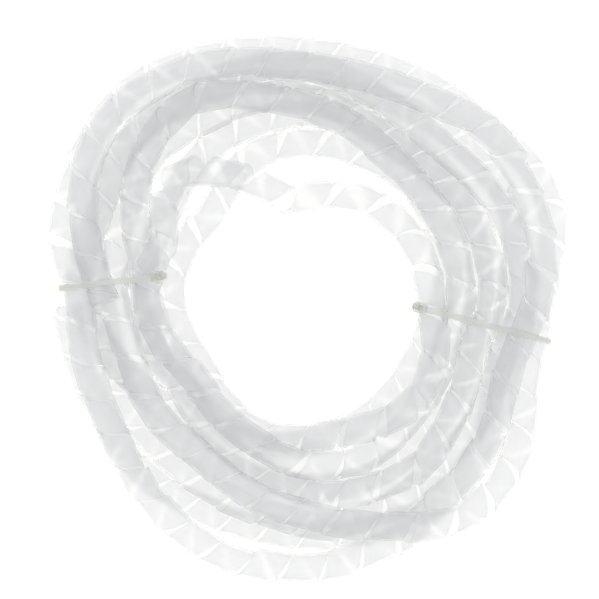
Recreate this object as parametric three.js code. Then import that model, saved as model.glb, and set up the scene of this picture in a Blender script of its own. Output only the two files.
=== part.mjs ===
// A hand-wound flat coil of spiral-cut polyethylene tree guard tube, tied with two nylon cable
// ties. Millimetres, +Z up; the coil lies on the plane z = 0 and its eye is near the origin.
import * as THREE from 'three';

// ---- driving dimensions ----

const TUBE_DIAMETER = 12;
const TUBE_SPACING = 12.6; // between the middles of two strands that rest on each other
const TUBE_SIDES = 8;
const STATION_ANGLE = 5; // degrees of coil between two settled stations
const TABLE_ANGLE = 20; // degrees of coil between two radii of the table below
const CAD_STATIONS = 2; // settled stations in one straight facet of a turn
const START_ANGLE = 185; // where the tube starts and ends, just below the left tie
const END_GAP = 0.2; // taken off each end of a turn's solid

// Each row is one turn of the tube, clockwise from the left tie: its radius in mm at 180, 160,
// ... 0 degrees over the far side, then at -20, -40, ... -160 degrees along the near side.
const TURN_RADII = [
  [85, 97.5, 106, 101, 94, 90, 91, 101, 101, 99, 93, 101, 109, 117, 119, 112, 100, 93],
  [90, 100, 108, 106, 98, 94, 96, 102, 111, 103, 99, 113.5, 112, 99, 91, 82, 80, 77],
  [78, 81, 86, 84, 84, 79, 75, 75, 80, 82, 79, 86, 94, 89, 79, 71, 69, 70],
  [69, 75, 86, 90, 80, 73, 68, 67, 67, 67, 67, 70, 73, 75, 69, 64, 61, 62],
  [63, 62, 69, 53, 38, 38, 43, 48, 52, 56, 63, 68, 70, 70.5, 69, 65, 58, 55],
  [54.5, 51, 48, 54, 60, 63, 64, 64, 64, 65, 61, 60, 62, 65, 69, 69, 64, 67],
  [70, 64.5, 66, 70, 72, 74, 76, 77, 76, 76, 74, 80, 84, 86, 84, 79, 78, 84],
  [90, 88, 92, 90, 90, 86, 81, 81, 88, 93, 88, 98, 101, 102, 97, 92, 87, 84],
  [84, 88, 92, 90, 88, 86, 86, 90, 95, 90, 91, 99, 105, 104.5, 103, 99.5, 95, 97],
];
const END_RADIUS = 97;

// The order in which strands lie on each other, 1 lowest, at 180, 90, 0 and -90 degrees.
const TURN_LAYERS = [
  [8, 7, 7, 1],
  [6, 1, 1, 7],
  [3, 4, 4, 6],
  [6, 8, 4, 5],
  [9, 9, 6, 3],
  [1, 1, 1, 1],
  [1, 3, 1, 3],
  [4, 5, 5, 4],
  [2, 3, 1, 2],
];
const END_LAYER = 1;

// The two ties: where the loop's plane stands, how far the strands are squeezed together there,
// and the side of the bundle that the head sits on (0 outwards, 90 up, 180 towards the eye).
const TIES = [
  { name: 'left', middle: [-80, 1.0], facing: 186.6, angle: 179.2, inner: 66.5, outer: 94.5, head: 112 },
  { name: 'right', middle: [75, -16], facing: -14.7, angle: -11.5, inner: 58, outer: 97, head: 128 },
];
const SQUEEZE_REACH = 30; // degrees each side of a tie
const LOOSE_BELOW = 10; // a strand this far inside the squeezed bundle passes by the tie
const STRAP_WIDTH = 2.5;
const STRAP_THICKNESS = 1.0;
const STRAP_CLEARANCE = 0.8;
const STRAP_ARC_STEP = 15; // degrees
const STRAP_TAIL = 2.6; // sticks out of the head
const HEAD_LIFT = 0.85; // from the middle of the strap below it to the head's base
const HEAD_HEIGHT = 4.3; // along the slot
const HEAD_WIDTH = 4.6; // across the strap
const HEAD_FRONT = 1.7; // from the slot's middle to the head's two end faces
const HEAD_BACK = 3.1;
const SLOT_WIDTH = 3.2;
const SLOT_FRONT = 0.85;
const SLOT_BACK = 2.3;
const PAWL_LENGTH = 2.8;
const PAWL_THICKNESS = 0.7;
const PAWL_WIDTH = 2.2;
const PAWL_START = 0.45; // from the head's base to the pawl's hinge end

// ---- the settled route of the tube ----

const TURNS = TURN_RADII.length;
const STATIONS_PER_TURN = 360 / STATION_ANGLE;
const STATIONS = TURNS * STATIONS_PER_TURN + 1;
const STATIONS_PER_ENTRY = TABLE_ANGLE / STATION_ANGLE;
const STATIONS_PER_LAYER = STATIONS_PER_TURN / 4;
const FIRST_ENTRY = (START_ANGLE - 180) / STATION_ANGLE; // stations before the tables begin
const SETTLE_STEPS = 1200;
const FALLING_STEPS = 900; // the rest of the steps only clear what still touches
const RADIANS = Math.PI / 180;

const angleOf = (station) => (START_ANGLE - STATION_ANGLE * station) * RADIANS;
const degreesFrom = (station, angle) => {
  const turned = START_ANGLE - STATION_ANGLE * station - angle + 180;
  return turned - 360 * Math.floor(turned / 360) - 180;
};

function smoothValue(values, place) {
  const first = Math.max(0, Math.min(values.length - 2, Math.floor(place)));
  const t = place - first;
  const [b, c] = [values[first], values[first + 1]];
  const a = first > 0 ? values[first - 1] : 2 * b - c;
  const d = first + 2 < values.length ? values[first + 2] : 2 * c - b;
  const cubic = 3 * b - a - 3 * c + d;
  return 0.5 * (2 * b + (c - a) * t + (2 * a - 5 * b + 4 * c - d) * t * t + cubic * t * t * t);
}

function straightValue(values, place) {
  const first = Math.max(0, Math.min(values.length - 2, Math.floor(place)));
  const t = Math.max(0, Math.min(1, place - first));
  return values[first] * (1 - t) + values[first + 1] * t;
}

// Raises the strands over the straps that pass below them.
function floorUnder(station) {
  const plateau = 5;
  const ramp = 14;
  let lift = 0;
  for (const tie of TIES) {
    const past = Math.max(0, Math.abs(degreesFrom(station, tie.angle)) - plateau) / ramp;
    lift = Math.max(lift, 0.5 + 0.5 * Math.cos(Math.PI * Math.min(1, past)));
  }
  return TUBE_DIAMETER / 2 + lift * (STRAP_THICKNESS + STRAP_CLEARANCE + 0.1);
}

// The turns start apart in their layers, sink, and push each other clear until they rest.
function settleRoute() {
  const radii = [...TURN_RADII.flat(), END_RADIUS];
  const layers = [...TURN_LAYERS.flat(), END_LAYER];
  const wanted = [];
  let height = [];
  const floor = [];
  const lowest = [];
  const highest = [];
  for (let i = 0; i < STATIONS; i += 1) {
    wanted.push(smoothValue(radii, (i - FIRST_ENTRY) / STATIONS_PER_ENTRY));
    const layer = straightValue(layers, (i - FIRST_ENTRY) / STATIONS_PER_LAYER);
    height.push(TUBE_DIAMETER / 2 + (layer - 1) * TUBE_SPACING * 0.8);
    floor.push(floorUnder(i));
    lowest.push(-Infinity);
    highest.push(Infinity);
    for (const tie of TIES) {
      const away = Math.abs(degreesFrom(i, tie.angle));
      const slack = 3 * (away / 9) ** 2;
      if (away >= SQUEEZE_REACH) continue;
      highest[i] = tie.outer + slack;
      if (wanted[i] > tie.inner - LOOSE_BELOW) lowest[i] = tie.inner - slack;
    }
  }
  let radius = [...wanted];
  for (let step = 0; step < SETTLE_STEPS; step += 1) {
    const falling = step <= FALLING_STEPS;
    if (falling) {
      height = height.map((h) => h - 0.1);
      radius = radius.map((r, i) => r + 0.12 * (wanted[i] - r));
    }
    const stiffness = falling ? 0.3 : 0.03;
    const nextRadius = [...radius];
    const nextHeight = [...height];
    for (let i = 1; i < STATIONS - 1; i += 1) {
      const bend = radius[i - 1] + radius[i + 1] - 2 * radius[i];
      const wantedBend = wanted[i - 1] + wanted[i + 1] - 2 * wanted[i];
      nextRadius[i] += stiffness * (0.4 * (bend - wantedBend) + 0.04 * bend);
      nextHeight[i] += stiffness * (height[i - 1] + height[i + 1] - 2 * height[i]);
    }
    pushApart(nextRadius, nextHeight, falling ? 0.35 : 0.5);
    radius = nextRadius;
    height = nextHeight.map((h, i) => Math.max(h, floor[i]));
    if (falling) radius = radius.map((r, i) => Math.min(highest[i], Math.max(lowest[i], r)));
  }
  return radius.map((r, i) => {
    return new THREE.Vector3(r * Math.cos(angleOf(i)), r * Math.sin(angleOf(i)), height[i]);
  });
}

// Two strands that cross count as nearer by what they close on each other in one station.
function pushApart(radius, height, sideways) {
  const outwards = radius.map((r, i) => {
    const before = Math.max(0, i - 1);
    const after = Math.min(STATIONS - 1, i + 1);
    return (radius[after] - radius[before]) / (after - before);
  });
  const pushRadius = radius.map(() => 0);
  const pushHeight = radius.map(() => 0);
  for (let i = 0; i < STATIONS; i += 1) {
    for (let j = i + STATIONS_PER_TURN; j < STATIONS; j += STATIONS_PER_TURN) {
      const across = radius[j] - radius[i];
      const closing = Math.abs(outwards[j] - outwards[i]);
      const side = Math.sign(across) * Math.max(0, Math.abs(across) - closing);
      const up = height[j] - height[i];
      const apart = Math.hypot(side, up);
      if (apart >= TUBE_SPACING) continue;
      const push = (0.5 * (TUBE_SPACING - apart)) / Math.max(apart, 1e-6);
      pushRadius[i] -= push * side;
      pushRadius[j] += push * side;
      pushHeight[i] -= push * up;
      pushHeight[j] += push * up;
    }
  }
  for (let i = 0; i < STATIONS; i += 1) {
    radius[i] += sideways * pushRadius[i];
    height[i] += 0.6 * pushHeight[i];
  }
}

// ---- one turn of the tube ----

class StationCurve extends THREE.Curve {
  constructor(stations, directions) {
    super();
    this.stations = stations;
    this.directions = directions;
  }

  getPoint(t, target = new THREE.Vector3()) {
    const place = t * (this.stations.length - 1);
    const first = Math.min(this.stations.length - 2, Math.floor(place));
    return target.lerpVectors(this.stations[first], this.stations[first + 1], place - first);
  }

  getPointAt(t, target) {
    return this.getPoint(t, target);
  }

  getTangentAt(t, target = new THREE.Vector3()) {
    return target.copy(this.directions[Math.round(t * (this.directions.length - 1))]);
  }
}

function tubeSection() {
  const section = new THREE.Shape();
  for (let side = 0; side < TUBE_SIDES; side += 1) {
    const turned = (side / TUBE_SIDES) * 2 * Math.PI;
    const x = (TUBE_DIAMETER / 2) * Math.cos(turned);
    const y = (TUBE_DIAMETER / 2) * Math.sin(turned);
    if (side === 0) section.moveTo(x, y);
    else section.lineTo(x, y);
  }
  section.closePath();
  return section;
}

function routeDirection(route, i) {
  const before = route[Math.max(0, i - 1)];
  const after = route[Math.min(route.length - 1, i + 1)];
  return after.clone().sub(before).normalize();
}

function turnGeometry(route, turn) {
  const first = turn * STATIONS_PER_TURN;
  const stations = [];
  const directions = [];
  for (let i = first; i <= first + STATIONS_PER_TURN; i += CAD_STATIONS) {
    stations.push(route[i].clone());
    directions.push(routeDirection(route, i));
  }
  const last = stations.length - 1;
  stations[0].addScaledVector(directions[0], END_GAP);
  stations[last].addScaledVector(directions[last], -END_GAP);
  const curve = new StationCurve(stations, directions);
  return new THREE.ExtrudeGeometry(tubeSection(), { steps: last, extrudePath: curve });
}

// ---- the cable ties ----
// A tie is drawn in its own upright plane: x outwards from the eye, y up, z across the strap.

const direction = (degrees) => new THREE.Vector2(Math.cos(degrees * RADIANS), Math.sin(degrees * RADIANS));

function tiePlacement(tie) {
  const out = new THREE.Vector3(Math.cos(tie.facing * RADIANS), Math.sin(tie.facing * RADIANS), 0);
  const up = new THREE.Vector3(0, 0, 1);
  const along = new THREE.Vector3().crossVectors(out, up);
  const placement = new THREE.Matrix4().makeBasis(out, up, along);
  return placement.setPosition(tie.middle[0], tie.middle[1], 0);
}

// Where the strands that the tie holds pass through the planes of the strap's two edges.
function heldStrands(route, tie) {
  const toPlane = tiePlacement(tie).invert();
  const local = route.map((point) => point.clone().applyMatrix4(toPlane));
  const held = [];
  for (const edge of [-STRAP_WIDTH / 2, STRAP_WIDTH / 2]) {
    for (let i = 1; i < local.length; i += 1) {
      const before = local[i - 1].z - edge;
      const after = local[i].z - edge;
      if (before * after > 0 || Math.abs(local[i].x) > 60) continue;
      const crossing = local[i - 1].clone().lerp(local[i], before / (before - after));
      const radius = Math.hypot(...tie.middle) + crossing.x;
      if (radius > tie.inner - LOOSE_BELOW) held.push(new THREE.Vector2(crossing.x, crossing.y));
    }
  }
  return held;
}

// The strand that a straight edge facing this way would touch first.
function outermost(held, facing) {
  return held.reduce((best, strand) => (strand.dot(facing) > best.dot(facing) ? strand : best));
}

function tieFrame(held, tie) {
  const outward = direction(tie.head);
  const along = new THREE.Vector2(outward.y, -outward.x);
  const reach = TUBE_DIAMETER / 2 + STRAP_CLEARANCE + STRAP_THICKNESS / 2;
  const middle = outermost(held, outward).clone().addScaledVector(outward, reach);
  const at = (out, forward) => middle.clone().addScaledVector(outward, out).addScaledVector(along, forward);
  return { at, outward, along, reach };
}

// From the head's end face round the bundle, then out through the slot.
function strapMiddleLine(held, tie, frame) {
  const line = [frame.at(HEAD_LIFT + 0.6, HEAD_BACK + 0.3), frame.at(HEAD_LIFT + 0.3, HEAD_BACK + 1.1)];
  const start = line[1];
  const arc = frame.reach * STRAP_ARC_STEP * RADIANS;
  for (let turned = 1; turned < 360; turned += 1) {
    const facing = direction(tie.head - turned);
    const point = outermost(held, facing).clone().addScaledVector(facing, frame.reach);
    const underHead = turned < 180 && point.dot(facing) < start.dot(facing);
    const atSlot = turned > 270 && point.clone().sub(frame.at(0, 0)).dot(frame.along) > -1.8;
    const moved = point.distanceTo(line[line.length - 1]);
    if (!underHead && !atSlot && moved > arc) line.push(point);
  }
  line.push(frame.at(0, -1.2), frame.at(0.5, -0.2), frame.at(1.2, 0));
  line.push(frame.at(HEAD_LIFT + HEAD_HEIGHT + STRAP_TAIL, 0));
  return line;
}

function strapGeometry(held, tie, frame) {
  const line = strapMiddleLine(held, tie, frame);
  const offset = (side) => line.map((point, i) => {
    const before = line[Math.max(0, i - 1)];
    const after = line[Math.min(line.length - 1, i + 1)];
    const forward = after.clone().sub(before).normalize();
    const moved = point.clone().addScaledVector(new THREE.Vector2(-forward.y, forward.x), side);
    if (side > 0 && moved.y < 0.3) moved.y = 0; // the under-run lies flat
    return moved;
  });
  const outline = [...offset(STRAP_THICKNESS / 2), ...offset(-STRAP_THICKNESS / 2).reverse()];
  const geometry = new THREE.ExtrudeGeometry(new THREE.Shape(outline), {
    depth: STRAP_WIDTH,
    bevelEnabled: false,
  });
  return geometry.translate(0, 0, -STRAP_WIDTH / 2);
}

// The head and the pawl are drawn along the slot, then turned to the side that the head is on.
function headPlacement(frame) {
  const outward = new THREE.Vector3(frame.outward.x, frame.outward.y, 0);
  const along = new THREE.Vector3(frame.along.x, frame.along.y, 0);
  const across = new THREE.Vector3().crossVectors(outward, along);
  const base = frame.at(HEAD_LIFT, 0);
  return new THREE.Matrix4().makeBasis(outward, along, across).setPosition(base.x, base.y, 0);
}

function rectangle(left, right, bottom, top) {
  return [[left, bottom], [right, bottom], [right, top], [left, top]].map((p) => new THREE.Vector2(...p));
}

function headGeometry() {
  const half = HEAD_WIDTH / 2;
  const body = new THREE.Shape(rectangle(-HEAD_FRONT, HEAD_BACK, -half, half));
  const slot = rectangle(-SLOT_FRONT, SLOT_BACK, -SLOT_WIDTH / 2, SLOT_WIDTH / 2);
  body.holes.push(new THREE.Path(slot));
  const geometry = new THREE.ExtrudeGeometry(body, { depth: HEAD_HEIGHT, bevelEnabled: false });
  // drawn as (along, across) and pushed out along the slot
  const outward = new THREE.Vector3(1, 0, 0);
  const along = new THREE.Vector3(0, 1, 0);
  const across = new THREE.Vector3(0, 0, 1);
  return geometry.applyMatrix4(new THREE.Matrix4().makeBasis(along, across, outward));
}

function pawlGeometry() {
  const low = SLOT_FRONT; // as far from the strap as the slot's front wall
  const tip = PAWL_START + PAWL_LENGTH;
  const outline = [
    [PAWL_START, low + 0.25],
    [PAWL_START + 0.6, low],
    [tip, low],
    [tip, low + PAWL_THICKNESS - 0.15],
    [PAWL_START, low + PAWL_THICKNESS],
  ].map((p) => new THREE.Vector2(...p));
  const geometry = new THREE.ExtrudeGeometry(new THREE.Shape(outline), {
    depth: PAWL_WIDTH,
    bevelEnabled: false,
  });
  return geometry.translate(0, 0, -PAWL_WIDTH / 2);
}

// ---- the assembly ----

const polyethylene = () => new THREE.MeshStandardMaterial({ color: 0xe9ecef, roughness: 0.45, metalness: 0 });
const nylon = () => new THREE.MeshStandardMaterial({ color: 0xd6d5cc, roughness: 0.4, metalness: 0 });

function addPiece(parent, name, geometry, material) {
  const mesh = new THREE.Mesh(geometry, material);
  mesh.name = name;
  parent.add(mesh);
}

function buildTubes(route) {
  const tubes = new THREE.Group();
  for (let turn = 0; turn < TURNS; turn += 1) {
    addPiece(tubes, `tube_turn_${turn + 1}`, turnGeometry(route, turn), polyethylene());
  }
  return tubes;
}

function buildTie(route, tie) {
  const group = new THREE.Group();
  group.applyMatrix4(tiePlacement(tie));
  const held = heldStrands(route, tie);
  const frame = tieFrame(held, tie);
  addPiece(group, `${tie.name}_tie_strap`, strapGeometry(held, tie, frame), nylon());
  const head = new THREE.Group();
  head.applyMatrix4(headPlacement(frame));
  addPiece(head, `${tie.name}_tie_head`, headGeometry(), nylon());
  addPiece(head, `${tie.name}_tie_pawl`, pawlGeometry(), nylon());
  group.add(head);
  return group;
}

// The origin moves to the middle of the underside of the whole coil's box.
function centred(coil) {
  coil.updateMatrixWorld(true);
  const box = new THREE.Box3().setFromObject(coil, true);
  const middle = box.getCenter(new THREE.Vector3());
  coil.position.set(-middle.x, -middle.y, -box.min.z);
  return coil;
}

const route = settleRoute();
const coil = new THREE.Group();
coil.add(buildTubes(route));
for (const tie of TIES) coil.add(buildTie(route, tie));
const object = new THREE.Group();
object.add(centred(coil));

export default object;
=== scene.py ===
import math

import bmesh
import bpy
import numpy as np
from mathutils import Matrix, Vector


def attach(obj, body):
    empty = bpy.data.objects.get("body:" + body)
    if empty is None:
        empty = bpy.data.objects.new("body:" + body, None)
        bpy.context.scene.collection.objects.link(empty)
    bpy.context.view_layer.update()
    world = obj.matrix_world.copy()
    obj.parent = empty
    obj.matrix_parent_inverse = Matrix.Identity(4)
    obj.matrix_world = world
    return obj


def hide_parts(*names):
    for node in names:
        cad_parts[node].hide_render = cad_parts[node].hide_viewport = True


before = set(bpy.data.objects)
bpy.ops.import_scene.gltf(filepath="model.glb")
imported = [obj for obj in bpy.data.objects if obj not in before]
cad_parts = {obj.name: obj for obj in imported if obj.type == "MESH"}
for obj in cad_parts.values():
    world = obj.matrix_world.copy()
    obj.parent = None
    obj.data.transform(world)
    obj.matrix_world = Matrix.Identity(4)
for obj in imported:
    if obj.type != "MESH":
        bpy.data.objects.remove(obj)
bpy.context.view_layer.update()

# A hand-wound coil of spiral-cut tree guard tube, held by two cable ties, on a pale lit surface.
# Shapes are worked out in millimetres and placed in metres.

MM = 0.001
rng = np.random.default_rng(20)

# ---------------------------------------------------------------- camera, light and floor

scene = bpy.context.scene
scene.view_settings.view_transform = "Standard"
scene.cycles.max_bounces = 48  # many thin clear walls lie over each other
scene.cycles.transmission_bounces = 48
scene.cycles.transparent_max_bounces = 64
scene.cycles.diffuse_bounces = 8
scene.cycles.glossy_bounces = 6
scene.cycles.caustics_refractive = True
scene.cycles.caustics_reflective = False

VIEW_CENTRE = (-3.70, 3.72, 20)  # mm, what the middle of the picture shows
VIEW_WIDTH = 251.6  # mm across the picture at that height
CAMERA_DISTANCE = 2400  # mm, straight above
SENSOR = 36
CLIP_START = 0.01

SKY_COLOUR = (0.97, 0.98, 1, 1)
SKY_STRENGTH = 0.85
SOFTBOX_PLACE = (-0.5, 0.7, 1.2)
SOFTBOX_SIZE = 0.7
SOFTBOX_POWER = 1.5

FLOOR_HALF = 3
FLOOR_DROP = 0.0005  # just clear of the coil's underside
FLOOR_COLOUR = (0.25, 0.25, 0.25, 1)
FLOOR_GLOW = (1, 1, 0.97, 1)
FLOOR_GLOW_STRENGTH = 0.92


def add_camera():
    data = bpy.data.cameras.new("camera")
    data.sensor_width = SENSOR
    data.lens = SENSOR * CAMERA_DISTANCE / VIEW_WIDTH
    data.clip_start = CLIP_START
    camera = bpy.data.objects.new("camera", data)
    camera.location = Vector((VIEW_CENTRE[0], VIEW_CENTRE[1], VIEW_CENTRE[2] + CAMERA_DISTANCE)) * MM
    scene.collection.objects.link(camera)
    scene.camera = camera


def add_sky():
    world = bpy.data.worlds.new("world")
    world.use_nodes = True
    background = world.node_tree.nodes["Background"]
    background.inputs["Color"].default_value = SKY_COLOUR
    background.inputs["Strength"].default_value = SKY_STRENGTH
    scene.world = world


def add_softbox():
    data = bpy.data.lights.new("softbox", "AREA")
    data.shape = "DISK"
    data.size = SOFTBOX_SIZE
    data.energy = SOFTBOX_POWER
    lamp = bpy.data.objects.new("softbox", data)
    lamp.location = SOFTBOX_PLACE
    lamp.rotation_euler = Vector(SOFTBOX_PLACE).to_track_quat("Z", "Y").to_euler()
    scene.collection.objects.link(lamp)


add_camera()
add_sky()
add_softbox()

# ---------------------------------------------------------------- meshes and materials


def mesh_object(name, points, faces):
    mesh = bpy.data.meshes.new(name)
    mesh.from_pydata([tuple(p) for p in points], [], faces)
    mesh.validate()
    mesh.update()
    mesh.shade_smooth()
    obj = bpy.data.objects.new(name, mesh)
    scene.collection.objects.link(obj)
    return obj


def loft(name, points, count, sides, closed=False):
    """A skin over rows of points, capped at both ends or closed into a ring of rows."""
    index = np.arange(count * sides).reshape(count, sides)
    faces = []
    for k in range(count if closed else count - 1):
        for m in range(sides):
            n = (m + 1) % sides
            j = (k + 1) % count
            faces.append((int(index[k, m]), int(index[k, n]), int(index[j, n]), int(index[j, m])))
    if not closed:
        faces.append(tuple(int(i) for i in index[0][::-1]))
        faces.append(tuple(int(i) for i in index[-1]))
    obj = mesh_object(name, points, faces)
    bm = bmesh.new()
    bm.from_mesh(obj.data)
    bmesh.ops.recalc_face_normals(bm, faces=bm.faces)
    bm.to_mesh(obj.data)
    bm.free()
    return obj


class Finish:
    """A procedural material on one Principled shader."""

    def __init__(self, name, **sockets):
        self.material = bpy.data.materials.new(name)
        self.material.use_nodes = True
        self.nodes = self.material.node_tree.nodes
        self.link = self.material.node_tree.links.new
        self.inputs = self.nodes["Principled BSDF"].inputs
        for key, value in sockets.items():
            self.inputs[key.replace("_", " ")].default_value = value

    def add(self, kind, **sockets):
        made = self.nodes.new(kind)
        for key, value in sockets.items():
            made.inputs[key.replace("_", " ")].default_value = value
        return made

    def noise(self, place, scale, detail, roughness):
        texture = self.add("ShaderNodeTexNoise", Scale=scale, Detail=detail, Roughness=roughness)
        self.link(place, texture.inputs["Vector"])
        return texture.outputs["Fac"]

    def tint(self, pattern, first, second):
        mix = self.nodes.new("ShaderNodeMix")
        mix.data_type = "RGBA"
        mix.inputs["A"].default_value = first
        mix.inputs["B"].default_value = second
        self.link(pattern, mix.inputs["Factor"])
        self.link(mix.outputs["Result"], self.inputs["Base Color"])

    def roughness(self, pattern, least, most):
        span = self.add("ShaderNodeMapRange", To_Min=least, To_Max=most)
        self.link(pattern, span.inputs["Value"])
        self.link(span.outputs["Result"], self.inputs["Roughness"])

    def relief(self, pattern, strength, distance):
        bump = self.add("ShaderNodeBump", Strength=strength, Distance=distance)
        self.link(pattern, bump.inputs["Height"])
        self.link(bump.outputs["Normal"], self.inputs["Normal"])


def add_floor():
    finish = Finish("floor", Roughness=0.9, Base_Color=FLOOR_COLOUR)
    finish.inputs["Emission Color"].default_value = FLOOR_GLOW
    finish.inputs["Emission Strength"].default_value = FLOOR_GLOW_STRENGTH
    corners = [(x * FLOOR_HALF, y * FLOOR_HALF, 0) for x, y in ((-1, -1), (1, -1), (1, 1), (-1, 1))]
    floor = mesh_object("floor", corners, [(0, 1, 2, 3)])
    floor.location.z = -FLOOR_DROP
    floor.data.materials.append(finish.material)


add_floor()

# ---------------------------------------------------------------- the settled route of the tube
# The same windings as the CAD solids of the nine turns, in millimetres about the coil's eye.

CENTRE = np.array([-3.4855, 9.8162, 0])  # from the coil's eye to the row frame
TUBE_RADIUS = 6
TUBE_SPACING = 12.6  # between the middles of two strands that rest on each other
STATION_ANGLE = 5  # degrees of coil between two settled stations
TABLE_ANGLE = 20  # degrees of coil between two radii of the table below
START_ANGLE = 185  # where the tube starts and ends, just below the left tie

# Each row is one turn of the tube, clockwise from the left tie: its radius in mm at 180, 160,
# ... 0 degrees over the far side, then at -20, -40, ... -160 degrees along the near side.
TURN_RADII = [
    [85, 97.5, 106, 101, 94, 90, 91, 101, 101, 99, 93, 101, 109, 117, 119, 112, 100, 93],
    [90, 100, 108, 106, 98, 94, 96, 102, 111, 103, 99, 113.5, 112, 99, 91, 82, 80, 77],
    [78, 81, 86, 84, 84, 79, 75, 75, 80, 82, 79, 86, 94, 89, 79, 71, 69, 70],
    [69, 75, 86, 90, 80, 73, 68, 67, 67, 67, 67, 70, 73, 75, 69, 64, 61, 62],
    [63, 62, 69, 53, 38, 38, 43, 48, 52, 56, 63, 68, 70, 70.5, 69, 65, 58, 55],
    [54.5, 51, 48, 54, 60, 63, 64, 64, 64, 65, 61, 60, 62, 65, 69, 69, 64, 67],
    [70, 64.5, 66, 70, 72, 74, 76, 77, 76, 76, 74, 80, 84, 86, 84, 79, 78, 84],
    [90, 88, 92, 90, 90, 86, 81, 81, 88, 93, 88, 98, 101, 102, 97, 92, 87, 84],
    [84, 88, 92, 90, 88, 86, 86, 90, 95, 90, 91, 99, 105, 104.5, 103, 99.5, 95, 97],
]
END_RADIUS = 97

# The order in which strands lie on each other, 1 lowest, at 180, 90, 0 and -90 degrees.
TURN_LAYERS = [
    [8, 7, 7, 1],
    [6, 1, 1, 7],
    [3, 4, 4, 6],
    [6, 8, 4, 5],
    [9, 9, 6, 3],
    [1, 1, 1, 1],
    [1, 3, 1, 3],
    [4, 5, 5, 4],
    [2, 3, 1, 2],
]
END_LAYER = 1
LAYER_RISE = 0.8  # of the spacing, before the strands sink

# The two ties: where the loop's plane stands, how far the strands are squeezed together there,
# and the side of the bundle that the head sits on (0 outwards, 90 up, 180 towards the eye).
TIES = [
    dict(name="left", middle=(-80, 1.0), facing=186.6, angle=179.2, inner=66.5, outer=94.5, head=112),
    dict(name="right", middle=(75, -16), facing=-14.7, angle=-11.5, inner=58, outer=97, head=128),
]
SQUEEZE_REACH = 30  # degrees each side of a tie
LOOSE_BELOW = 10  # a strand this far inside the squeezed bundle passes by the tie
LIFT_PLATEAU = 5  # degrees each side of a tie where the strands lie on its strap
LIFT_RAMP = 14  # degrees over which they come down to the surface again
TIE_SLACK = 3  # mm that the strands may spread, this far from a tie, and more with the square
TIE_SLACK_ANGLE = 9  # degrees
STRAP_THICKNESS = 1.0
STRAP_CLEARANCE = 0.8
STRAP_MARGIN = 0.1

TURNS = len(TURN_RADII)
PER_TURN = 360 // STATION_ANGLE
STATIONS = TURNS * PER_TURN + 1
FIRST_ENTRY = (START_ANGLE - 180) / STATION_ANGLE  # stations before the tables begin
SETTLE_STEPS = 1200
FALLING_STEPS = 900  # the rest of the steps only clear what still touches
FALL = 0.1  # mm in a step
DRAW_BACK = 0.12  # share of the way to the wanted radius in a step
FALLING_STIFFNESS, RESTING_STIFFNESS = 0.3, 0.03
FALLING_SIDEWAYS, RESTING_SIDEWAYS = 0.35, 0.5  # share of a push that moves strands sideways
UPWARDS = 0.6  # share of it that moves them up or down
KEEP_BEND, LOSE_BEND = 0.4, 0.04  # how firmly strands keep the wanted bends and straighten out
ANGLES = START_ANGLE - STATION_ANGLE * np.arange(STATIONS)


def cubic_between(a, b, c, d, t):
    """A smooth curve from b to c, with a and d as the points before and after."""
    bent = 3 * b - a - 3 * c + d
    return 0.5 * (2 * b + (c - a) * t + (2 * a - 5 * b + 4 * c - d) * t**2 + bent * t**3)


def smooth_values(values, place):
    values = np.array([2 * values[0] - values[1], *values, 2 * values[-1] - values[-2]], float)
    first = np.clip(np.floor(place), 0, len(values) - 4).astype(int)
    return cubic_between(*(values[first + k] for k in range(4)), place - first)


def degrees_from(angle):
    turned = ANGLES - angle + 180
    return turned - 360 * np.floor(turned / 360) - 180


def push_apart(radius, height, sideways):
    """Two strands that cross count as nearer by what they close on each other in one station."""
    outwards = np.gradient(radius)
    push_radius = np.zeros(STATIONS)
    push_height = np.zeros(STATIONS)
    for step in range(PER_TURN, STATIONS, PER_TURN):
        across = radius[step:] - radius[:-step]
        closing = np.abs(outwards[step:] - outwards[:-step])
        side = np.sign(across) * np.maximum(0, np.abs(across) - closing)
        up = height[step:] - height[:-step]
        apart = np.hypot(side, up)
        push = np.where(apart < TUBE_SPACING, 0.5 * (TUBE_SPACING - apart), 0) / np.maximum(apart, 1e-6)
        push_radius[:-step] -= push * side
        push_radius[step:] += push * side
        push_height[:-step] -= push * up
        push_height[step:] += push * up
    return radius + sideways * push_radius, height + UPWARDS * push_height


def tie_limits(wanted):
    """The height of what each station rests on, and the radii that the ties leave it."""
    lift = np.zeros(STATIONS)
    lowest = np.full(STATIONS, -np.inf)
    highest = np.full(STATIONS, np.inf)
    for tie in TIES:
        away = np.abs(degrees_from(tie["angle"]))
        past = np.minimum(1, np.maximum(0, away - LIFT_PLATEAU) / LIFT_RAMP)
        lift = np.maximum(lift, 0.5 + 0.5 * np.cos(math.pi * past))
        slack = TIE_SLACK * (away / TIE_SLACK_ANGLE) ** 2
        near = away < SQUEEZE_REACH
        highest = np.where(near, tie["outer"] + slack, highest)
        held = near & (wanted > tie["inner"] - LOOSE_BELOW)
        lowest = np.where(held, tie["inner"] - slack, lowest)
    return TUBE_RADIUS + lift * (STRAP_THICKNESS + STRAP_CLEARANCE + STRAP_MARGIN), lowest, highest


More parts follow.
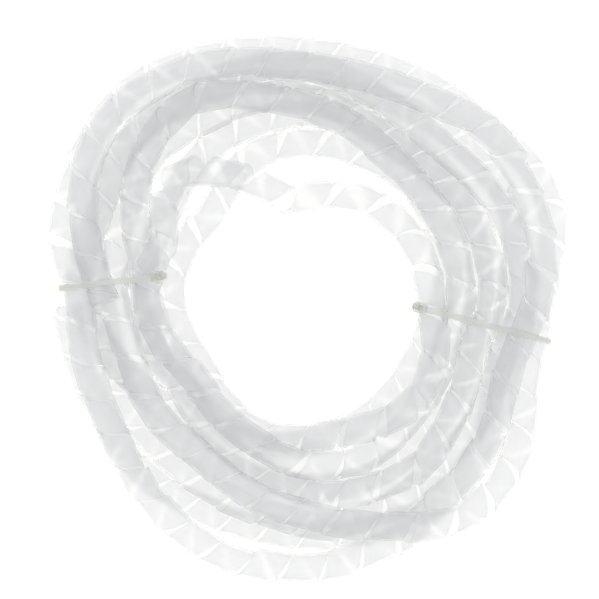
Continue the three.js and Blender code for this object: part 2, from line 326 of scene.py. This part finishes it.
def settled_route():
    """The turns start apart in their layers, sink, and push each other clear until they rest."""
    place = np.arange(STATIONS) - FIRST_ENTRY
    wanted = smooth_values([*sum(TURN_RADII, []), END_RADIUS], place * STATION_ANGLE / TABLE_ANGLE)
    layers = [*sum(TURN_LAYERS, []), END_LAYER]
    layer = np.interp(place / (PER_TURN / 4), np.arange(len(layers)), layers)
    height = TUBE_RADIUS + (layer - 1) * TUBE_SPACING * LAYER_RISE
    floor_height, lowest, highest = tie_limits(wanted)
    radius = wanted.copy()
    for step in range(SETTLE_STEPS):
        falling = step <= FALLING_STEPS
        if falling:
            height = height - FALL
            radius = radius + DRAW_BACK * (wanted - radius)
        stiffness = FALLING_STIFFNESS if falling else RESTING_STIFFNESS
        bend = radius[:-2] + radius[2:] - 2 * radius[1:-1]
        wanted_bend = wanted[:-2] + wanted[2:] - 2 * wanted[1:-1]
        rise = height[:-2] + height[2:] - 2 * height[1:-1]
        radius = radius.copy()
        height = height.copy()
        radius[1:-1] += stiffness * (KEEP_BEND * (bend - wanted_bend) + LOSE_BEND * bend)
        height[1:-1] += stiffness * rise
        sideways = FALLING_SIDEWAYS if falling else RESTING_SIDEWAYS
        radius, height = push_apart(radius, height, sideways)
        height = np.maximum(height, floor_height)
        if falling:
            radius = np.minimum(highest, np.maximum(lowest, radius))
    turned = np.radians(ANGLES)
    return np.stack([radius * np.cos(turned), radius * np.sin(turned), height], axis=1)


route = settled_route()

# ---------------------------------------------------------------- the tube: one spiral strip

WALL = 1.0
FULLNESS = 0.2  # the cut strip springs out a little beyond the tube it was cut from
STRIP_WIDTH = 14.9
LEAST_SLIT = 0.25  # doubled where strands are free
FREE_BEYOND = 94  # radius past which strands are only loosely held
FREE_FULLY = 8  # past that radius by this much, they aren't held at all
FREE_PLAY = 1.6  # how much more a free strand's windings lean and shift
LOOSE_STATION = 4 * PER_TURN + 20  # the middle of the loose innermost strand
LOOSE_REACH = 9
FREE_STRETCH = 3.2  # extra pitch there
GAP_STATION = 4 * PER_TURN + 35.4  # one wide opening in the innermost strand
GAP_REACH = 1.3
GAP_STRETCH = 4.5
BEND_REACH = 60  # fine steps each way over which the strip follows a bend
MOST_CURVATURE = 0.03  # per mm, the sharpest bend that the pitch follows
AROUND = 24  # steps round the tube
FINE_STEP = 0.1  # stations, to measure the tube's line
END_TRIM = 0.6  # the strip stops short of a point at each end

# The small irregularities of single windings: turns of the strip from one to the next, and the
# most that each may be, in mm, or in mm per mm of the strip's width for the tilt.
SLIDE = (1.3, 0.3)
SWELL = (0.9, 0.10)
LEAN = (2.1, 0.16)
TILT = (1.0, 0.05)
SHIFT = (1.1, 0.35)

# The strip's rounded edges: how far below its face, and how far in from its side.
OUTER_EDGE = ((0.32, 0), (0.1, 0.1), (0, 0.35))
INNER_EDGE = ((0.3, 0), (0, 0.3))


def spline(points, place):
    """Points on a smooth curve through these, at fractional places."""
    padded = np.vstack([2 * points[0] - points[1], points, 2 * points[-1] - points[-2]])
    first = np.clip(np.floor(place), 0, len(points) - 2).astype(int)
    return cubic_between(*(padded[first + k] for k in range(4)), (place - first)[:, None])


def length_along(points):
    return np.concatenate([[0], np.cumsum(np.linalg.norm(np.diff(points, axis=0), axis=1))])


def unit(vectors):
    return vectors / np.linalg.norm(vectors, axis=1)[:, None]


def freedom(points):
    """From 0 where strands are held in the bundle to 1 where they lie free at its outside."""
    return np.clip((np.hypot(points[:, 0], points[:, 1]) - FREE_BEYOND) / FREE_FULLY, 0, 1)


def wander(places, step, amount):
    """Smooth seeded noise along a line, one free value every step."""
    values = rng.uniform(-amount, amount, int(places[-1] / step) + 4)
    first = np.floor(places / step).astype(int)
    t = places / step - first
    t = t * t * (3 - 2 * t)
    return values[first] * (1 - t) + values[first + 1] * t


def strip_pitch(stations, line, tangent, length_at):
    """How far the strip goes along the tube in one turn, at each point of the line."""
    turning = np.linalg.norm(np.gradient(tangent, axis=0), axis=1) / np.gradient(length_at)
    window = 2 * BEND_REACH + 1
    turning = np.convolve(np.pad(turning, BEND_REACH, "edge"), np.ones(window) / window, "valid")
    closed = STRIP_WIDTH + LEAST_SLIT * (1 + freedom(line))
    pitch = closed / (1 - TUBE_RADIUS * np.minimum(turning, MOST_CURVATURE))
    loose = np.exp(-(((stations - LOOSE_STATION) / LOOSE_REACH) ** 2))
    gaping = np.exp(-(((stations - GAP_STATION) / GAP_REACH) ** 2))
    return pitch + FREE_STRETCH * loose + GAP_STRETCH * gaping


def strip_section():
    """The strip's outline: its side (-1 to 1), its radius, and how far in from that side."""
    outer = TUBE_RADIUS + FULLNESS
    inner = outer - WALL
    outer_edge = [(outer - below, inset) for below, inset in OUTER_EDGE]
    inner_edge = [(inner + above, inset) for above, inset in INNER_EDGE]
    return [
        *((-1, *point) for point in outer_edge), (-0.5, outer, 0),
        (0.5, outer, 0), *((1, *point) for point in reversed(outer_edge)),
        *((1, *point) for point in inner_edge), (0.5, inner, 0),
        (-0.5, inner, 0), *((-1, *point) for point in reversed(inner_edge)),
    ]


def strip_turns(phase_at, length_at, pitch):
    """The turns of the strip, a step at a time, and how far along the tube each step lies."""
    half = STRIP_WIDTH / 2
    length, revolutions = length_at[-1], phase_at[-1]
    phase = np.arange(-0.5, revolutions + 0.5, 1 / AROUND)
    centre = np.interp(phase, phase_at, length_at)
    before = phase < 0
    after = phase > revolutions
    centre[before] = phase[before] * pitch[0]
    centre[after] = length + (phase[after] - revolutions) * pitch[-1]
    keep = (centre > -half + END_TRIM) & (centre < length + half - END_TRIM)
    return phase[keep], centre[keep]


def tube_strip():
    stations = np.arange(0, STATIONS - 1 + 1e-6, FINE_STEP)
    line = spline(route, stations)
    length_at = length_along(line)
    length = length_at[-1]
    tangent = unit(np.gradient(line, axis=0))
    pitch = strip_pitch(stations, line, tangent, length_at)
    phase_at = np.concatenate([[0], np.cumsum(np.diff(length_at) / pitch[1:])])
    phase, centre = strip_turns(phase_at, length_at, pitch)

    inside = np.clip(centre, 0, length)
    at = np.interp(inside, length_at, stations)
    along = unit(np.stack([np.interp(at, stations, tangent[:, k]) for k in range(3)], axis=1))
    middle = spline(route, at) + along * (centre - inside)[:, None]
    outward = unit(np.cross([0, 0, 1], along))
    upward = np.cross(outward, along)
    upward = np.where(upward[:, 2:] < 0, -upward, upward)
    turned = -2 * math.pi * phase
    ring = np.cos(turned)[:, None] * outward + np.sin(turned)[:, None] * upward

    steps = phase - phase[0]
    slide, swell, lean = wander(steps, *SLIDE), wander(steps, *SWELL), wander(steps, *LEAN)
    play = 1 + FREE_PLAY * freedom(middle)
    tilt_out, tilt_up = play * wander(steps, *TILT), play * wander(steps, *TILT)
    shift_out, shift_up = play * wander(steps, *SHIFT), np.abs(wander(steps, *SHIFT))
    middle = middle + shift_out[:, None] * outward + shift_up[:, None] * upward

    low = np.maximum(-STRIP_WIDTH / 2, -centre)
    high = np.minimum(STRIP_WIDTH / 2, length - centre)
    rows = []
    reach = []
    for side, radius, inset in strip_section():
        inset = np.sign(side) * np.minimum(inset, (high - low) / 3)
        across = (low + high) / 2 + side * (high - low) / 2 - inset
        swollen = radius + swell + lean * across / STRIP_WIDTH
        leaning = (across * tilt_out)[:, None] * outward + (across * tilt_up)[:, None] * upward
        row = middle + along * (across + slide)[:, None] + ring * swollen[:, None] + leaning
        row[:, 2] = np.maximum(row[:, 2], 0)
        rows.append(row)
        reach.append(centre + across)
    rows = np.stack(rows, axis=1)
    count, sides = rows.shape[:2]
    obj = loft("spiral_tube", (rows.reshape(-1, 3) + CENTRE) * MM, count, sides)
    # along the tube and around it, in millimetres, for the extrusion lines
    lengths = np.stack(reach, axis=1).reshape(-1)
    turns = np.repeat(phase * 2 * math.pi * TUBE_RADIUS, sides)
    for name, values in (("along", lengths), ("around", turns)):
        layer = obj.data.attributes.new(name, "FLOAT", "POINT")
        layer.data.foreach_set("value", values.astype(np.float32))
    return obj, length


tube, tube_length = tube_strip()
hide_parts(*[f"tube_turn_{n + 1}" for n in range(TURNS)])
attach(tube, "coil")

# ---------------------------------------------------------------- polyethylene


def polyethylene():
    """Milky and part clear, with fine lines along the tube and a faint cloudiness."""
    finish = Finish(
        "polyethylene", IOR=1.05, Specular_IOR_Level=0.2, Transmission_Weight=0.7, Alpha=0.35
    )
    along = finish.nodes.new("ShaderNodeAttribute")
    along.attribute_name = "along"
    around = finish.nodes.new("ShaderNodeAttribute")
    around.attribute_name = "around"
    place = finish.nodes.new("ShaderNodeCombineXYZ")
    finish.link(along.outputs["Fac"], place.inputs["X"])
    finish.link(around.outputs["Fac"], place.inputs["Y"])
    streaks = finish.add("ShaderNodeMapping", Scale=(0.02, 1.6, 1))
    finish.link(place.outputs["Vector"], streaks.inputs["Vector"])
    lines = finish.noise(streaks.outputs["Vector"], scale=1.0, detail=3.0, roughness=0.6)
    cloud = finish.noise(place.outputs["Vector"], scale=0.12, detail=2.0, roughness=0.5)
    finish.tint(cloud, (0.802, 0.804, 0.814, 1), (0.772, 0.778, 0.786, 1))
    finish.roughness(lines, 0.72, 0.9)
    finish.relief(lines, strength=0.25, distance=0.00008)
    return finish.material


tube.data.materials.append(polyethylene())

# ---------------------------------------------------------------- the cable ties
# Each is drawn in its own upright plane: x outwards from the eye, y up, z across the strap.

STRAP_WIDTH = 2.5
STRAP_ARC_STEP = 15  # degrees
STRAP_HUG = 0.45  # the visible strap lies this much closer to the strands than the CAD strap
STRAP_STEP = 0.25
STRAP_SMOOTHING = 5  # steps each way over which corners of the strap's line are rounded
STRAP_TAIL = 2.6  # sticks out of the head
STRAP_LOWEST = 0.02
STRAP_ROOT = ((0.6, -0.6), (0.3, 1.1))  # out from the head's base, and past its back face
INTO_SLOT = ((0, -1.2), (0.5, -0.2), (1.2, 0))  # out from the strap below, and past the slot's line
BEFORE_SLOT = 1.8  # where the strap leaves the strands for the slot
TAIL_CURL = ((0.6, 0.05), (1, 0.3))  # along the tail, and how far it curls forward
TOOTH_PITCH = 1.0
TOOTH_HEIGHT = 0.24
TOOTH_FLOOR = -0.18  # the bottom of the toothed channel, from the middle of the strap
HEAD_LIFT = 0.85  # from the middle of the strap below it to the head's base
HEAD_HEIGHT = 4.3  # along the slot
HEAD_WIDTH = 4.6  # across the strap
HEAD_FRONT = 1.7  # from the slot's middle to the head's two end faces
HEAD_BACK = 3.1
HEAD_CORNER = 0.95
SLOT_WIDTH = 3.2
SLOT_FRONT = 0.85
SLOT_BACK = 2.3
SLOT_CORNER = 0.2
SLOT_FLARE = 0.16
PAWL_WIDTH = 2.2
PAWL_BEVEL = 0.9  # of its half width, where its two sides begin to draw in
PAWL_DRAWN_IN = (0.06, 0.12)  # towards its middle, as shares of its length and its thickness
BESIDE_TIE = 60  # mm from a tie's middle, past which the strands are on the coil's other side


def towards(degrees):
    return np.array([math.cos(math.radians(degrees)), math.sin(math.radians(degrees))])


class Tie:
    def __init__(self, facts):
        self.name = facts["name"]
        self.turned = facts["head"]
        self.out = np.array([*towards(facts["facing"]), 0])
        self.along = np.cross(self.out, [0, 0, 1])
        self.middle = np.array([*facts["middle"], 0])
        self.held = self.held_strands(np.hypot(*facts["middle"]), facts["inner"] - LOOSE_BELOW)
        self.reach = TUBE_RADIUS + STRAP_CLEARANCE + STRAP_THICKNESS / 2
        self.outward = towards(self.turned)
        self.forward = np.array([self.outward[1], -self.outward[0]])
        self.base = self.outermost(self.outward) + self.outward * self.reach

    def held_strands(self, middle_radius, least_radius):
        """Where the strands that the tie holds pass through the planes of the strap's two edges."""
        held = []
        local = route - self.middle
        x, y, z = local @ self.out, local[:, 2], local @ self.along
        for edge in (-STRAP_WIDTH / 2, STRAP_WIDTH / 2):
            before, after = z[:-1] - edge, z[1:] - edge
            for i in np.nonzero((before * after <= 0) & (np.abs(x[1:]) <= BESIDE_TIE))[0]:
                t = before[i] / (before[i] - after[i])
                at = np.array([x[i] + t * (x[i + 1] - x[i]), y[i] + t * (y[i + 1] - y[i])])
                if middle_radius + at[0] > least_radius:
                    held.append(at)
        return np.array(held)

    def outermost(self, facing):
        """The strand that a straight edge facing this way would touch first."""
        return self.held[np.argmax(self.held @ facing)]

    def at(self, out, forward):
        return self.base + self.outward * out + self.forward * forward

    def place(self, points):
        """Row-frame points, in metres, of points drawn in the tie's plane in millimetres."""
        points = np.asarray(points, float)
        up = np.array([0, 0, 1])
        placed = self.middle + points[:, :1] * self.out + points[:, 1:2] * up + points[:, 2:3] * self.along
        return (placed + CENTRE) * MM

    def place_head(self, points):
        """The same for points drawn on the head: out along the slot, forward, across."""
        points = np.asarray(points, float)
        flat = self.at(HEAD_LIFT, 0) + points[:, :1] * self.outward + points[:, 1:2] * self.forward
        return self.place(np.column_stack([flat, -points[:, 2]]))

    def strap_line(self):
        """From the head's end face round the bundle, then out through the slot."""
        line = [self.at(HEAD_LIFT + out, HEAD_BACK + past) for out, past in STRAP_ROOT]
        start = line[1]
        hug = self.reach - STRAP_HUG
        for turned in range(1, 360):
            facing = towards(self.turned - turned)
            point = self.outermost(facing) + facing * hug
            under_head = turned < 180 and point @ facing < start @ facing
            at_slot = turned > 270 and (point - self.base) @ self.forward > -BEFORE_SLOT
            moved = np.linalg.norm(point - line[-1])
            if not under_head and not at_slot and moved > hug * math.radians(STRAP_ARC_STEP):
                line.append(point)
        top = HEAD_LIFT + HEAD_HEIGHT
        line += [self.at(out, past) for out, past in INTO_SLOT]
        line.append(self.at(top, 0))
        line += [self.at(top + STRAP_TAIL * out, past) for out, past in TAIL_CURL]
        return np.array(line)


def strap_section():
    """The strap's outline: across, away from the strands, and 1 where the teeth are cut."""
    half, thick = STRAP_WIDTH / 2, STRAP_THICKNESS / 2
    return [
        (-half, 0.2, 0), (-half + 0.12, thick - 0.06, 0), (-half + 0.4, thick, 0), (0, thick, 0),
        (half - 0.4, thick, 0), (half - 0.12, thick - 0.06, 0), (half, 0.2, 0),
        (half, -0.25, 0), (half - 0.12, -thick + 0.04, 0), (half - 0.42, -thick, 0),
        (half - 0.5, TOOTH_FLOOR, 1), (-half + 0.5, TOOTH_FLOOR, 1),
        (-half + 0.42, -thick, 0), (-half + 0.12, -thick + 0.04, 0), (-half, -0.25, 0),
    ]


def strap(tie):
    line = tie.strap_line()
    far = length_along(line)
    s = np.arange(0, far[-1], STRAP_STEP)
    path = np.stack([np.interp(s, far, line[:, k]) for k in range(2)], axis=1)
    padded = np.pad(path, ((STRAP_SMOOTHING, STRAP_SMOOTHING), (0, 0)), "edge")
    window = 2 * STRAP_SMOOTHING + 1
    path = sum(padded[k : k + len(path)] for k in range(window)) / window
    forward = unit(np.gradient(path, axis=0))
    normal = np.column_stack([-forward[:, 1], forward[:, 0]])
    tooth = TOOTH_HEIGHT * ((s / TOOTH_PITCH) % 1)
    rows = []
    for across, high, toothed in strap_section():
        offset = high - toothed * tooth
        flat = path + normal * np.broadcast_to(offset, s.shape)[:, None]
        rows.append(np.column_stack([flat, np.full(len(s), across)]))
    rows = np.stack(rows, axis=1)
    rows[:, :, 1] = np.maximum(rows[:, :, 1], STRAP_LOWEST)
    count, sides = rows.shape[:2]
    return loft(f"{tie.name}_strap", tie.place(rows.reshape(-1, 3)), count, sides)


def rounded(front, back, half, radius):
    """A rounded rectangle as (forward, across) points."""
    steps = 6
    corners = [
        (back - radius, half - radius, 0), (front + radius, half - radius, 90),
        (front + radius, -half + radius, 180), (back - radius, -half + radius, 270),
    ]
    points = []
    for forward, across, first in corners:
        for k in range(steps):
            c = towards(first + 90 * k / (steps - 1))
            points.append((forward + radius * c[0], across + radius * c[1]))
    return points


def tie_head(tie):
    """Up the rounded outside from base to top, then down through the slot."""
    half, slot = HEAD_WIDTH / 2, SLOT_WIDTH / 2
    outside = (
        (0, 0.5), (0.1, 0.2), (0.4, 0.04), (0.8, 0),
        (3.3, 0), (3.9, 0.08), (4.2, 0.26), (HEAD_HEIGHT, 0.5),
    )
    through = ((HEAD_HEIGHT, -SLOT_FLARE), (HEAD_HEIGHT - SLOT_FLARE, 0), (SLOT_FLARE, 0), (0, -SLOT_FLARE))
    rows = []
    for out, inset in outside:
        ring = rounded(-HEAD_FRONT + inset, HEAD_BACK - inset, half - inset, HEAD_CORNER - inset)
        rows.append([(out, forward, across) for forward, across in ring])
    for out, inset in through:
        ring = rounded(-SLOT_FRONT + inset, SLOT_BACK - inset, slot - inset, SLOT_CORNER - inset)
        rows.append([(out, forward, across) for forward, across in ring])
    points = tie.place_head([p for row in rows for p in row])
    return loft(f"{tie.name}_head", points, len(rows), len(rows[0]), closed=True)


def tie_pawl(tie):
    """The tongue beside the strap, with three teeth towards it."""
    outline = [
        (0.45, 1.12), (1.0, 0.86), (1.55, 0.64), (1.6, 0.86), (2.25, 0.64), (2.3, 0.86),
        (2.95, 0.64), (3.25, 0.82), (3.25, 1.38), (1.2, 1.5), (0.45, 1.52),
    ]
    sides = (-1, -PAWL_BEVEL, PAWL_BEVEL, 1)
    rows = [[(x, y, side * PAWL_WIDTH / 2) for x, y in outline] for side in sides]
    for row in (rows[0], rows[-1]):
        middle = np.mean(row, axis=0)
        row[:] = [
            (x + PAWL_DRAWN_IN[0] * (middle[0] - x), y + PAWL_DRAWN_IN[1] * (middle[1] - y), z)
            for x, y, z in row
        ]
    points = tie.place_head([p for row in rows for p in row])
    obj = loft(f"{tie.name}_pawl", points, len(rows), len(outline))
    obj.data.shade_flat()
    return obj


def nylon():
    """Natural nylon: satin, part clear, with a slight mottle and a fine grain."""
    finish = Finish("nylon", IOR=1.2, Transmission_Weight=0.6, Alpha=0.55)
    place = finish.nodes.new("ShaderNodeTexCoord").outputs["Object"]
    cloud = finish.noise(place, scale=260.0, detail=3.0, roughness=0.6)
    grain = finish.noise(place, scale=2600.0, detail=2.0, roughness=0.5)
    finish.tint(cloud, (0.9, 0.9, 0.85, 1), (0.85, 0.855, 0.8, 1))
    finish.roughness(cloud, 0.32, 0.5)
    finish.relief(grain, strength=0.2, distance=0.00004)
    return finish.material


nylon_material = nylon()
for facts in TIES:
    tie = Tie(facts)
    pieces = (
        ("strap", strap(tie), "coil"),
        ("head", tie_head(tie), "coil"),
        ("pawl", tie_pawl(tie), f"{tie.name}_pawl"),
    )
    for part, piece, body in pieces:
        piece.data.materials.append(nylon_material)
        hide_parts(f"{tie.name}_tie_{part}")
        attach(piece, body)
